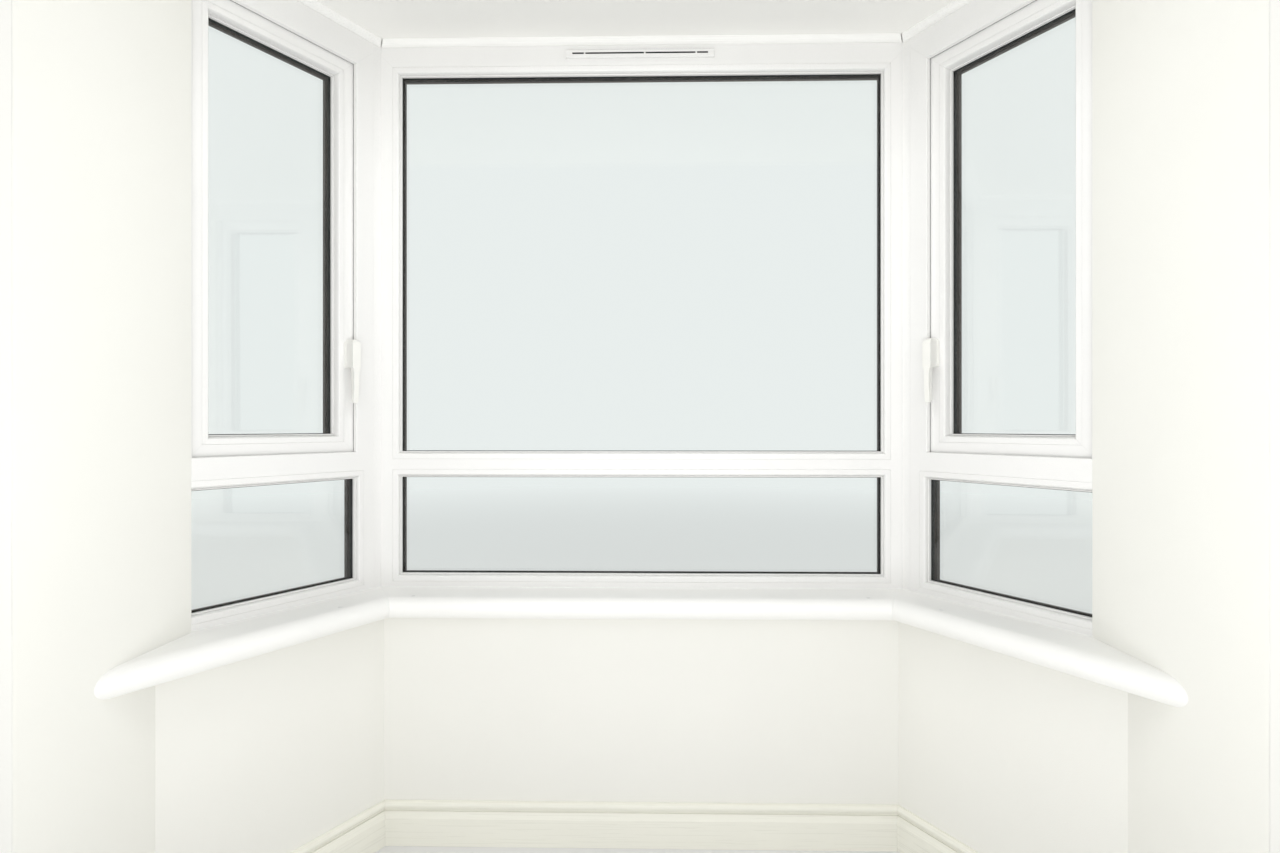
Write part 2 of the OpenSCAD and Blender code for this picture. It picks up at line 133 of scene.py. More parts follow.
def add_loft(bm, rings, closed=False):
    """Joins rings of points with faces, with flat ends unless the rings close on each other."""
    loops = [[bm.verts.new(p) for p in ring] for ring in rings]
    pairs = list(zip(loops, loops[1:]))
    if closed:
        pairs.append((loops[-1], loops[0]))
    for a, b in pairs:
        count = len(a)
        for i in range(count):
            bm.faces.new((a[i], a[(i + 1) % count], b[(i + 1) % count], b[i]))
    if not closed:
        bm.faces.new(list(reversed(loops[0])))
        bm.faces.new(loops[-1])


def add_picture_frame(bm, low, high, section):
    """A mitred ring round a light. The section's points are its inset and its depth."""
    rings = []
    for sx, sz in ((1, 1), (-1, 1), (-1, -1), (1, -1)):
        x = low[0] if sx > 0 else high[0]
        z = low[2] if sz > 0 else high[2]
        rings.append([(x + sx * inset, depth, z + sz * inset) for inset, depth in section])
    add_loft(bm, rings, closed=True)


def add_turned(bm, centre, axis, profile, steps=32):
    """A turned piece. The profile's points are a radius and a distance along the axis."""
    across = axis.orthogonal().normalized()
    other = axis.cross(across)
    rings = []
    for radius, along in profile:
        ring = []
        for i in range(steps):
            a = math.tau * i / steps
            ring.append(centre + axis * along + (across * math.cos(a) + other * math.sin(a)) * radius)
        rings.append(ring)
    add_loft(bm, rings)


def arc(centre, radius, start, end, steps):
    """Points on an arc, with its angles in degrees."""
    points = []
    for i in range(steps + 1):
        a = math.radians(start + (end - start) * i / steps)
        points.append((centre[0] + radius * math.cos(a), centre[1] + radius * math.sin(a)))
    return points


def place_mesh(name, bm):
    """Puts a finished mesh in the scene."""
    mesh = bpy.data.meshes.new(name)
    bm.to_mesh(mesh)
    bm.free()
    placed = bpy.data.objects.new(name, mesh)
    bpy.context.scene.collection.objects.link(placed)
    return placed


def make_piece(name, bm, turn, material, bevel=0.0, smooth=30.0):
    """Turns a finished mesh into place, gives it its finish and fastens it to the part."""
    same_point = 1e-6
    bmesh.ops.remove_doubles(bm, verts=bm.verts, dist=same_point)
    bmesh.ops.recalc_face_normals(bm, faces=bm.faces)
    bm.transform(Matrix.Rotation(turn, 4, "Z"))
    piece = place_mesh(name, bm)
    mesh = piece.data
    mesh.materials.append(material)
    if bevel:
        rounding = piece.modifiers.new("Rounded edges", "BEVEL")
        rounding.width = bevel
        rounding.segments = 2
        rounding.limit_method = "ANGLE"
    mesh.shade_smooth()
    mesh.set_sharp_from_angle(angle=math.radians(smooth))
    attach(piece, "root")
    return piece


def finish_node(node, material):
    """Gives a solid of the frame its finish."""
    mesh = frame["nodes"][node].data
    mesh.materials.clear()
    mesh.materials.append(material)


# Material making. Scales are spots a metre, and the depths of reliefs are in metres
class Finish:
    """A node material in the making, with its Principled shader."""

    def __init__(self, name, roughness, ior=1.5):
        self.material = bpy.data.materials.new(name)
        self.material.use_nodes = True
        self.tree = self.material.node_tree
        self.shader = self.tree.nodes["Principled BSDF"]
        self.shader.inputs["Roughness"].default_value = roughness
        self.shader.inputs["IOR"].default_value = ior
        self.place = self.node("ShaderNodeTexCoord").outputs["Object"]

    def node(self, kind, **settings):
        """A new node with its settings."""
        made = self.tree.nodes.new(kind)
        for key, value in settings.items():
            setattr(made, key, value)
        return made

    def link(self, source, target):
        """Feeds a socket, or sets it where the source is a plain value."""
        if isinstance(source, bpy.types.NodeSocket):
            self.tree.links.new(source, target)
        else:
            target.default_value = source

    def math(self, operation, a, b=0.0):
        """One sum on two values."""
        made = self.node("ShaderNodeMath", operation=operation)
        self.link(a, made.inputs[0])
        self.link(b, made.inputs[1])
        return made.outputs[0]

    def stretched(self, scale, place=None):
        """A place, stretched along its axes."""
        made = self.node("ShaderNodeVectorMath", operation="MULTIPLY")
        self.link(place or self.place, made.inputs[0])
        made.inputs[1].default_value = scale
        return made.outputs[0]

    def noise(self, scale, detail, place=None):
        """Soft random spots, from 0 to 1."""
        made = self.node("ShaderNodeTexNoise")
        self.link(place or self.place, made.inputs["Vector"])
        made.inputs["Scale"].default_value = scale
        made.inputs["Detail"].default_value = detail
        return made.outputs["Fac"]

    def cells(self, scale):
        """Distance from the nearest of many scattered points."""
        made = self.node("ShaderNodeTexVoronoi")
        self.link(self.place, made.inputs["Vector"])
        made.inputs["Scale"].default_value = scale
        return made.outputs["Distance"]

    def between(self, value, low, high, out_low=0.0, out_high=1.0):
        """A value moved from one range to another, and kept inside it."""
        made = self.node("ShaderNodeMapRange")
        self.link(value, made.inputs["Value"])
        made.inputs["From Min"].default_value = low
        made.inputs["From Max"].default_value = high
        made.inputs["To Min"].default_value = out_low
        made.inputs["To Max"].default_value = out_high
        return made.outputs["Result"]

    def spread(self, spots, out_low=0.0, out_high=1.0):
        """The middle of a noise's range, moved to another range."""
        darkest = 0.3
        lightest = 0.7
        return self.between(spots, darkest, lightest, out_low, out_high)

    def mixed(self, kind, share, a, b):
        """Two sources of one kind mixed."""
        made = self.node("ShaderNodeMix", data_type=kind)
        self.link(share, made.inputs["Factor"])
        self.link(a, made.inputs["A"])
        self.link(b, made.inputs["B"])
        return made.outputs["Result"]

    def mix(self, share, a, b):
        """Two colours mixed."""
        return self.mixed("RGBA", share, full(a), full(b))

    def mottled(self, spots, colour, share):
        """A colour that soft spots make darker by a share."""
        return self.mix(self.spread(spots), shade(colour, share), colour)

    def parts(self, vector):
        """The X, Y and Z of a vector."""
        made = self.node("ShaderNodeSeparateXYZ")
        self.link(vector, made.inputs[0])
        return made.outputs

    def wall_place(self, wall):
        """The place in a wall's own axes."""
        made = self.node("ShaderNodeVectorRotate", rotation_type="Z_AXIS")
        self.link(self.place, made.inputs["Vector"])
        made.inputs["Angle"].default_value = -TURNS[wall]
        return made.outputs[0]

    def rounded(self, radius):
        """Normals that round the sharp edges off."""
        made = self.node("ShaderNodeBevel", samples=4)
        made.inputs["Radius"].default_value = radius
        return made.outputs[0]

    def bump(self, height, depth, normal=None):
        """A relief of that depth in metres on a height from 0 to 1."""
        made = self.node("ShaderNodeBump")
        made.inputs["Strength"].default_value = 1.0
        made.inputs["Distance"].default_value = depth
        self.link(height, made.inputs["Height"])
        if normal is not None:
            self.link(normal, made.inputs["Normal"])
        return made.outputs[0]

    def paint(self, colour, roughness, normal=None):
        """Feeds the shader and returns the material."""
        self.link(colour, self.shader.inputs["Base Color"])
        self.link(roughness, self.shader.inputs["Roughness"])
        if normal is not None:
            self.link(normal, self.shader.inputs["Normal"])
        return self.material

    def two_shaders(self, share, second):
        """Mixes another shader in by a share, and returns the material."""
        both = self.node("ShaderNodeMixShader")
        self.link(share, both.inputs["Fac"])
        self.link(self.shader.outputs[0], both.inputs[1])
        self.link(second.outputs[0], both.inputs[2])
        self.link(both.outputs[0], self.tree.nodes["Material Output"].inputs["Surface"])
        return self.material


def full(colour):
    """A colour with its alpha, or the socket that gives it."""
    if isinstance(colour, bpy.types.NodeSocket):
        return colour
    return (*colour[:3], 1.0)


def shade(colour, share):
    """A colour made darker or lighter by a share."""
    return tuple(min(c * share, 1.0) for c in colour[:3])


def wall_finish(colours, name, arris=None):
    """Smooth emulsion on plaster towards the room, and pale roughcast on the weather side.
    The arris is the depth of an edge that the plasterer has rounded."""
    f = Finish(name, roughness=0.72)
    place = f.parts(f.place)
    facing = f.node("ShaderNodeNewGeometry")
    edge = facing.outputs["Normal"]
    if arris is not None:
        arris_r = 0.005
        rounded_to = arris + 0.008
        flat_from = arris + 0.01
        near_arris = f.between(place["Y"], rounded_to, flat_from, 1.0, 0.0)
        edge = f.mixed("VECTOR", near_arris, edge, f.rounded(arris_r))
    waves = f.noise(2.2, detail=2.0)
    stipple = f.noise(420.0, detail=2.0)
    plaster = f.mottled(waves, colours.plaster, 0.985)
    smooth_relief = f.bump(stipple, depth=0.00025, normal=f.bump(waves, depth=0.004, normal=edge))

    stones = f.cells(150.0)
    clumps = f.noise(34.0, detail=3.0)
    stone_height = f.between(stones, 0.0, 0.75, 1.0, 0.0)
    rough = f.math("ADD", stone_height, f.math("MULTIPLY", clumps, 0.8))
    rough_relief = f.bump(rough, depth=0.0035)
    streaks = f.noise(3.0, detail=4.0, place=f.stretched((6.0, 6.0, 0.5)))
    splash_top = 0.35
    foot = f.between(place["Z"], 0.0, splash_top, 1.0, 0.0)
    soiling = f.math("ADD", f.math("MULTIPLY", foot, 0.6), 0.25)
    grime = f.math("MULTIPLY", f.between(streaks, 0.35, 0.8), soiling)
    # Painted shade: the roughcast is made darker in the hollows between its stones
    hollow = f.between(stones, 0.35, 0.8)
    hollow_shaded_roughcast = f.mix(hollow, colours.roughcast, shade(colours.roughcast, 0.74))
    # Real grime streaks over the roughcast and its painted shade in the hollows
    grime_and_hollow_shade = f.mix(grime, hollow_shaded_roughcast, colours.grime)

    # Faces that look outwards or up are on the weather side
    slant = f.parts(facing.outputs["True Normal"])
    top = f.between(slant["Z"], 0.5, 0.6)
    outside = f.math("MAXIMUM", f.between(slant["Y"], 0.25, 0.35), top)
    normal = f.mixed("VECTOR", outside, smooth_relief, rough_relief)
    colour = f.mix(outside, plaster, grime_and_hollow_shade)
    return f.paint(colour, f.between(outside, 0.0, 1.0, 0.62, 0.95), normal)


def ceiling_finish(colours):
    """Flat emulsion on a skimmed board."""
    f = Finish("Ceiling emulsion", roughness=0.8)
    waves = f.noise(1.6, detail=2.0)
    stipple = f.noise(300.0, detail=2.0)
    relief = f.bump(stipple, depth=0.0003, normal=f.bump(waves, depth=0.003))
    return f.paint(f.mottled(waves, colours.ceiling, 0.98), f.spread(stipple, 0.74, 0.84), relief)


def grain(f, place, along_x):
    """Fine pores and bands of a wood print, as a colour share and a height."""
    with_grain = 3.0
    across = 60.0
    flat_place = f.stretched((with_grain, across, across), place)
    upright_place = f.stretched((across, across, with_grain), place)
    run = f.mixed("VECTOR", along_x, upright_place, flat_place)
    bands = f.noise(0.9, detail=3.0, place=run)
    pores = f.noise(14.0, detail=2.0, place=run)
    share = f.math("ADD", f.math("MULTIPLY", bands, 0.7), f.math("MULTIPLY", pores, 0.3))
    return f.between(share, 0.35, 0.65), pores


def grained_brown(f, colours, film):
    """The two browns of the wood print."""
    return f.mix(film, shade(colours.brown, 0.7), shade(colours.brown, 1.3))


def nearest_edge(f, at, low, high):
    """Distance to the nearer of two ends."""
    return f.math("MINIMUM", f.math("SUBTRACT", at, low), f.math("SUBTRACT", high, at))


def frame_finish(colours, wall, node, brown_from, ring_top):
    """White plastic towards the room and a wood-grained brown film on the weather side.
    Fine knifed lines show where the corners are welded."""
    f = Finish(f"White plastic, {node}", roughness=0.3)
    low, high = turned_box(node, TURNS[wall])
    place = f.wall_place(wall)
    at = f.parts(place)
    from_end = nearest_edge(f, at["X"], low.x, high.x)
    from_foot = nearest_edge(f, at["Z"], low.z, min(high.z, ring_top))
    level = f.math("GREATER_THAN", from_end, from_foot)
    apart = f.math("ABSOLUTE", f.math("SUBTRACT", from_end, from_foot))
    weld_line = 0.0003
    weld_fade = 0.0008
    weld = f.between(apart, weld_line, weld_fade, 1.0, 0.0)
    change = inner_face(wall) + brown_from
    film_edge = 0.0002
    brown = f.between(at["Y"], change - film_edge, change + film_edge)

    film, pores = grain(f, place, level)
    clouds = f.noise(5.0, detail=2.0)
    white = f.mottled(clouds, colours.frame, 0.985)
    lined = f.mix(weld, white, shade(colours.frame, 0.93))
    skin = f.noise(700.0, detail=2.0)
    height = f.math("SUBTRACT", f.math("MULTIPLY", skin, 0.1), weld)
    white_relief = f.bump(height, depth=0.0002, normal=f.rounded(0.0015))
    normal = f.mixed("VECTOR", brown, white_relief, f.bump(pores, depth=0.0003))
    sheen = f.mixed("FLOAT", brown, f.spread(skin, 0.26, 0.34), f.spread(pores, 0.36, 0.5))
    return f.paint(f.mix(brown, lined, grained_brown(f, colours, film)), sheen, normal)


def white_plastic(colours):
    """Plain satin white plastic."""
    f = Finish("White plastic", roughness=0.3)
    clouds = f.noise(6.0, detail=2.0)
    skin = f.noise(700.0, detail=2.0)
    relief = f.bump(skin, depth=0.00003, normal=f.rounded(0.0012))
    return f.paint(f.mottled(clouds, colours.frame, 0.985), f.spread(skin, 0.24, 0.32), relief)


def brown_film(colours, wall=None):
    """Wood-grained brown film, along its wall or on an upright cover."""
    f = Finish(f"Brown film, {wall or 'upright'}", roughness=0.42)
    place = f.wall_place(wall) if wall else f.place
    film, pores = grain(f, place, 1.0 if wall else 0.0)
    relief = f.bump(pores, depth=0.0003, normal=f.rounded(0.0012))
    return f.paint(grained_brown(f, colours, film), f.spread(pores, 0.36, 0.5), relief)


def satin_paint(name, paint, wall):
    """Satin paint brushed along the length of a timber moulding."""
    f = Finish(name, roughness=0.3)
    along = f.stretched((0.12, 6.0, 6.0), f.wall_place(wall))
    strokes = f.noise(40.0, detail=3.0, place=along)
    clouds = f.noise(3.0, detail=2.0)
    relief = f.bump(strokes, depth=0.00015, normal=f.rounded(0.0015))
    return f.paint(f.mottled(clouds, paint, 0.975), f.spread(strokes, 0.24, 0.36), relief)


def board_finish(colours, wall):
    """Foam board with a smooth, faintly mottled white skin."""
    f = Finish(f"Board plastic, {wall}", roughness=0.36)
    clouds = f.noise(3.0, detail=2.0)
    skin = f.noise(260.0, detail=2.0)
    relief = f.bump(skin, depth=0.00005)
    return f.paint(f.mottled(clouds, colours.board, 0.985), f.spread(skin, 0.34, 0.38), relief)


def seal_rubber(colours):
    """Matt black rubber with a little dust on it."""
    f = Finish("Seal rubber", roughness=0.6)
    dust = f.noise(60.0, detail=4.0)
    colour = f.mix(f.between(dust, 0.45, 0.75), colours.rubber, shade(colours.rubber, 2.2))
    relief = f.bump(f.noise(900.0, detail=1.0), depth=0.00005)
    return f.paint(colour, f.spread(dust, 0.5, 0.7), relief)


def spacer_black(colours):
    """Dull black spacer bar with rows of fine breather holes."""
    f = Finish("Spacer bar", roughness=0.4)
    # Painted shade: the breather holes are painted nearly black, standing for the shade inside them
    holes = f.between(f.cells(380.0), 0.12, 0.2, 1.0, 0.0)
    clouds = f.noise(30.0, detail=2.0)
    bar = f.mottled(clouds, colours.spacer, 0.85)
    return f.paint(f.mix(holes, bar, shade(colours.spacer, 0.25)), f.spread(clouds, 0.34, 0.46))


def handle_coat(colours):
    """Smooth powder coat on a die-cast handle."""
    f = Finish("Handle coat", roughness=0.34)
    peel = f.noise(480.0, detail=2.0)
    clouds = f.noise(25.0, detail=2.0)
    colour = f.mottled(clouds, colours.handle, 0.98)
    return f.paint(colour, f.spread(peel, 0.28, 0.4), f.bump(peel, depth=0.00006))


def roof_felt(colours):
    """Mineral felt, with slate chips pressed into the bitumen."""
    f = Finish("Mineral felt", roughness=0.92)
    chips = f.cells(420.0)
    bald = f.noise(6.0, detail=4.0)
    tint = f.mix(f.between(chips, 0.2, 0.7), colours.felt, shade(colours.felt, 0.55))
    moss = f.between(f.noise(11.0, detail=4.0), 0.62, 0.72)
    colour = f.mix(f.math("MULTIPLY", moss, 0.5), tint, colours.moss)
    worn = f.mix(f.between(bald, 0.68, 0.76), colour, shade(colours.felt, 0.4))
    relief = f.bump(f.between(chips, 0.0, 0.7, 1.0, 0.0), depth=0.0012)
    return f.paint(worn, f.between(bald, 0.3, 0.8, 0.95, 0.8), relief)


def lead_sheet(colours):
    """Weathered lead."""
    f = Finish("Lead", roughness=0.55)
    f.shader.inputs["Metallic"].default_value = 0.5
    clouds = f.noise(12.0, detail=5.0)
    colour = f.mottled(clouds, colours.lead, 0.7)
    return f.paint(colour, f.spread(clouds, 0.45, 0.7), f.bump(clouds, depth=0.001))


def pane_glass(colours):
    """Clear float glass that lets lamplight through."""
    f = Finish("Pane glass", roughness=0.0, ior=1.45)
    f.shader.inputs["Base Color"].default_value = full(colours.glass)
    f.shader.inputs["Transmission Weight"].default_value = 1.0
    f.link(f.bump(f.noise(1.5, detail=2.0), depth=0.0004), f.shader.inputs["Normal"])
    clear = f.node("ShaderNodeBsdfTransparent")
    clear.inputs["Color"].default_value = full(colours.glass)
    return f.two_shaders(f.node("ShaderNodeLightPath").outputs["Is Shadow Ray"], clear)


def sealant_finish(colours):
    """White sealant, smoothed with a wet finger."""
    f = Finish("Sealant", roughness=0.38)
    drag = f.noise(90.0, detail=3.0)
    colour = f.mottled(drag, colours.sealant, 0.96)
    return f.paint(colour, f.spread(drag, 0.3, 0.45), f.bump(drag, depth=0.0004))


# Settings that a user would change
def colour_setting(name, description, default):
    """A colour in the panel."""
    return FloatVectorProperty(
        name=name, description=description, default=default, subtype="COLOR", min=0.0, max=1.0)


def length_setting(name, description, default):
    """A length in the panel."""
    return FloatProperty(
        name=name, description=description, default=default, min=0.0, unit="LENGTH", precision=4)


def power_setting(name, description, default):
    """The power of a lamp in the panel."""
    return FloatProperty(name=name, description=description, default=default, min=0.0, subtype="POWER")


class BayColours(bpy.types.PropertyGroup):
    plaster: colour_setting("Plaster", "Emulsion on the inner walls", (0.9, 0.894, 0.846))
    ceiling: colour_setting("Ceiling", "Emulsion on the ceiling", (0.95, 0.944, 0.914))
    roughcast: colour_setting("Roughcast", "Painted roughcast outside", (0.76, 0.75, 0.71))
    grime: colour_setting("Grime", "Streaks on the roughcast", (0.42, 0.41, 0.35))
    frame: colour_setting("Frames", "White plastic of frames and sashes", (0.85, 0.846, 0.832))
    brown: colour_setting("Brown film", "Film on the weather side", (0.04, 0.022, 0.014))
    trim: colour_setting("Head trim", "Paint on the trim under the ceiling", (0.93, 0.927, 0.905))
    paint: colour_setting("Satin paint", "Paint on the skirting", (0.91, 0.902, 0.815))
    board: colour_setting("Window boards", "Skin of the window boards", (0.92, 0.917, 0.895))
    rubber: colour_setting("Rubber", "Gaskets and sash seals", (0.011, 0.012, 0.012))
    spacer: colour_setting("Spacer bars", "Bars between the panes", (0.012, 0.018, 0.016))
    handle: colour_setting("Handles", "Powder coat of the handles", (0.89, 0.885, 0.845))
    felt: colour_setting("Roof felt", "Chips of the mineral felt", (0.2, 0.21, 0.21))
    moss: colour_setting("Moss", "Patches on the felt", (0.1, 0.12, 0.05))
    lead: colour_setting("Lead", "Flashing at the house wall", (0.36, 0.37, 0.39))
    glass: colour_setting("Glass", "Tint of one pane", (0.965, 0.985, 0.974))
    sealant: colour_setting("Sealant", "Lines of sealant", (0.88, 0.88, 0.86))
    floor: colour_setting("Floor", "Stage floor", (0.8, 0.8, 0.8))
    sky: colour_setting("Backdrop", "Seen behind the part", (0.87, 0.885, 0.89))


class BayGlazing(bpy.types.PropertyGroup):
    pane_t: length_setting("Pane", "Thickness of one pane", 0.004)
    bead_w: length_setting("Bead", "Width of a glazing bead", 0.023)
    leg_w: length_setting("Outer leg", "Width of the frame's leg outside the glass", 0.02)
    gasket_w: length_setting("Gasket", "Rubber that shows beside a bead", 0.0018)
    gasket_d: length_setting("Gasket depth", "How far the rubber stands off the glass", 0.002)
    spacer_in: length_setting("Spacer place", "From the glass edge to the spacer bar", 0.005)
    spacer_h: length_setting("Spacer height", "Height of the spacer bar", 0.008)


class BayFittings(bpy.types.PropertyGroup):
    cap_r: length_setting("Cap radius", "Radius of a screw cap", 0.0055)
    cap_h: length_setting("Cap height", "Height of a screw cap", 0.0016)
    front_cap_x: length_setting("Front caps", "From the middle to a cap on the front board", 0.636)
    front_cap_in: length_setting("Front cap depth", "From the frame to a cap on the front", 0.105)
    side_cap_s: length_setting("Side caps", "From a side frame's end to a cap on its board", 0.179)
    side_cap_in: length_setting("Side cap depth", "From the frame to a cap on a side board", 0.1)
    bead_r: length_setting("Sealant", "Size of a line of sealant", 0.0035)
    drain_w: length_setting("Drain caps", "Width of the caps over the drainage slots", 0.034)
    drain_h: length_setting("Drain cap height", "Height of those caps", 0.011)
    drain_t: length_setting("Drain cap reach", "How far those caps stand off", 0.005)


class BayRoof(bpy.types.PropertyGroup):
    lap_w: length_setting("Felt lap", "Width of a lap between two sheets of felt", 0.08)
    lap_t: length_setting("Felt", "Thickness of the felt", 0.003)
    lap_x: length_setting("Felt sheet", "From the middle to a lap", 0.5)
    lead_t: length_setting("Lead", "Thickness of the flashing", 0.0022)
    lead_up: length_setting("Lead upstand", "How far the flashing goes up the wall", 0.024)
    lead_out: length_setting("Lead apron", "How far the flashing covers the felt", 0.13)
    lead_sheet: length_setting("Lead sheet", "Length of one sheet of lead", 0.63)
    lead_lap: length_setting("Lead lap", "How far one sheet laps over the next", 0.05)


class BayStage(bpy.types.PropertyGroup):
    floor_reach: length_setting("Floor", "Reach of the floor round the part", 60.0)
    haze_from: length_setting("Haze from", "Where the floor starts to fade into the backdrop", 3.0)
    haze_to: length_setting("Haze to", "Where the floor has faded into the backdrop", 12.0)
    world_power: FloatProperty(
        name="Room light", description="Level of the even light", default=0.78, min=0.0)
    key_power: power_setting("Main lamp", "Power of the lamp on the room side", 12.0)
    high_power: power_setting("High lamp", "Power of the lamp over the window boards", 5.5)
    ceiling_power: power_setting("Ceiling lamp", "Power of the lamp that lights the ceiling", 15.0)
    low_power: power_setting("Low lamp", "Power of the lamp that lights the walls", 10.0)
    far_power: power_setting("Outer lamps", "Power of each lamp on the weather side", 22.0)
    lens: FloatProperty(
        name="Lens", description="Focal length on a 36 mm sensor", default=19.07, min=1.0, unit="CAMERA")
    camera_at: FloatVectorProperty(
        name="Camera", description="Where the camera stands", default=(0.0351, -1.664, 1.1996),
        subtype="TRANSLATION", unit="LENGTH")
    camera_turn: FloatProperty(
        name="Camera turn", description="Turn of the camera to the left",
        default=math.radians(1.01), subtype="ANGLE", unit="ROTATION")


# Lamps, with the place, the point they look at, the size and the setting of their power
MIDDLE = (0.0, 0.2, 1.0)
ABOVE = (0.0, -1.0, 2.6)
BELOW = (0.0, -0.2, 0.0)
LAMPS = (
    ("Main lamp", (0.0, -3.3, 1.9), MIDDLE, 3.0, "key_power"),
    ("High lamp", (0.0, -0.2, 2.28), BELOW, 0.6, "high_power"),
    ("Ceiling lamp", (0.0, -1.6, 0.7), ABOVE, 0.9, "ceiling_power"),
    ("Low lamp", (0.0, -1.5, 0.15), ABOVE, 1.4, "low_power"),
    ("Outer lamp left", (-2.8, 4.0, 3.8), MIDDLE, 3.4, "far_power"),
    ("Outer lamp right", (2.8, 4.0, 3.8), MIDDLE, 3.4, "far_power"),
)


# Operators, one for each group of pieces
class BAY_OT_walls(bpy.types.Operator):
    """Plasters the walls inside and roughcasts them outside"""
    bl_idname = "bay.walls"
    bl_label = "Walls and ceiling"

    def execute(self, context):
        colours = context.scene.bay_colours
        dwarf_wall = wall_finish(colours, "Plaster and roughcast")
        for wall in TURNS:
            finish_node(f"{wall}_dwarf_wall", dwarf_wall)
        reveal = wall_finish(colours, "Plaster with a rounded arris", CAD_BOX[0].y)
        for side in SIDES:
            finish_node(f"{side}_reveal_wall", reveal)
        finish_node("house_lintel", reveal)
        finish_node("bay_ceiling", ceiling_finish(colours))
        return {"FINISHED"}


class BAY_OT_roof(bpy.types.Operator):
    """Covers the roof with felt, a flashing and brown fascias"""
    bl_idname = "bay.roof"
    bl_label = "Roof"

    def execute(self, context):
        colours = context.scene.bay_colours
        sizes = context.scene.bay_roof
        felt = roof_felt(colours)
        film = brown_film(colours, "front")
        finish_node("flat_roof", felt)
        finish_node("fascia_boards", film)
        finish_node("soffit_boards", film)
        self.felt_laps(sizes, felt)
        self.flashing(sizes, lead_sheet(colours))
        return {"FINISHED"}

    def slope(self):
        """The roof's back edge and front edge, as places of depth and height."""
        points = [v.co for v in frame["nodes"]["flat_roof"].data.vertices]
        back = min(p.y for p in points)
        front = max(p.y for p in points)
        close = 0.001
        return [(y, max(p.z for p in points if abs(p.y - y) < close)) for y in (back, front)]

    def felt_laps(self, sizes, felt):
        """Second layer of felt where two sheets lap, with a feathered edge."""
        (back, back_z), (front, front_z) = self.slope()
        fall = (front_z - back_z) / (front - back)
        half = sizes.lap_w / 2
        upper = half - sizes.lap_t * 2
        section = [(-half, 0.0), (half, 0.0), (upper, sizes.lap_t), (-upper, sizes.lap_t)]
        for side, x in zip(SIDES, (-sizes.lap_x, sizes.lap_x)):
            bm = bmesh.new()
            rings = []
            for y in (back + sizes.lead_out, front):
                z = back_z + (y - back) * fall
                rings.append([(x + along, y, z + up) for along, up in section])
            add_loft(bm, rings)
            make_piece(f"{side}_felt_lap", bm, TURNS["front"], felt)

    def flashing(self, sizes, lead):
        """Lead dressed over the felt and up the house wall, in lapped sheets."""
        (back, back_z), (front, front_z) = self.slope()
        fall = (front_z - back_z) / (front - back)
        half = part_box("flat_roof")[1].x
        count = math.ceil(2 * half / sizes.lead_sheet)
        pitch = 2 * half / count
        bm = bmesh.new()
        for i in range(count):
            start = i * pitch - half
            rings = []
            for x in (start, start + pitch + sizes.lead_lap):
                ring = []
                for out, up in lead_section(sizes, raised=i % 2):
                    limit = half - out / math.tan(SPLAY)
                    ring.append((max(-limit, min(limit, x)), back + out, back_z + out * fall + up))
                rings.append(ring)
            add_loft(bm, rings)
        make_piece("lead_flashing", bm, TURNS["front"], lead, bevel=0.0006)


def lead_section(sizes, raised):
    """A bent sheet, as distance from the wall and height. A raised one laps over its neighbours."""
    t = sizes.lead_t
    lift = t if raised else 0.0
    bend = 3 * t
    under = [(lift, sizes.lead_up), (lift, lift + bend), (lift + bend, lift), (sizes.lead_out, lift)]
    over = [(sizes.lead_out, lift + t), (lift + bend + t / 2, lift + t)]
    over += [(lift + t, lift + bend + t / 2), (lift + t, sizes.lead_up)]
    return under + over


class BAY_OT_joinery(bpy.types.Operator):
    """Paints the skirting and trims and skins the window boards"""
    bl_idname = "bay.joinery"
    bl_label = "Boards, skirting and trims"

    def execute(self, context):
        colours = context.scene.bay_colours
        finish_node("head_trim", satin_paint("Head trim paint", colours.trim, "front"))
        for wall in TURNS:
            skirting = satin_paint(f"Skirting paint, {wall}", colours.paint, wall)
            finish_node(f"{wall}_skirting", skirting)
            finish_node(f"{wall}_window_board", board_finish(colours, wall))
        return {"FINISHED"}


class BAY_OT_frames(bpy.types.Operator):
    """Finishes frames, sashes, beads and posts in plastic"""
    bl_idname = "bay.frames"
    bl_label = "Frames and sashes"

    brown_from: length_setting("Brown from", "Depth at which a frame's brown film starts", 0.049)
    sash_brown_from: length_setting("Sash brown from", "The same depth on a sash", 0.0745)
    head_extra: length_setting("Head extension", "Height of the piece on top of a welded frame", 0.056)

    def execute(self, context):
        colours = context.scene.bay_colours
        plain = white_plastic(colours)
        rubber = seal_rubber(colours)
        upright = brown_film(colours)
        ring_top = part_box("front_frame")[1].z - self.head_extra
        for wall in TURNS:
            node = f"{wall}_frame"
            finish_node(node, frame_finish(colours, wall, node, self.brown_from, ring_top))
            finish_node(f"{wall}_cill", brown_film(colours, wall))
        for side in SIDES:
            node = f"{side}_sash"
            finish_node(node, frame_finish(colours, side, node, self.sash_brown_from, ring_top))
            finish_node(f"{side}_sash_seal", rubber)
            finish_node(f"{side}_corner_post", plain)
            finish_node(f"{side}_post_cover", upright)
        for light in LIGHTS:
            finish_node(f"{light}_beads", plain)
        return {"FINISHED"}


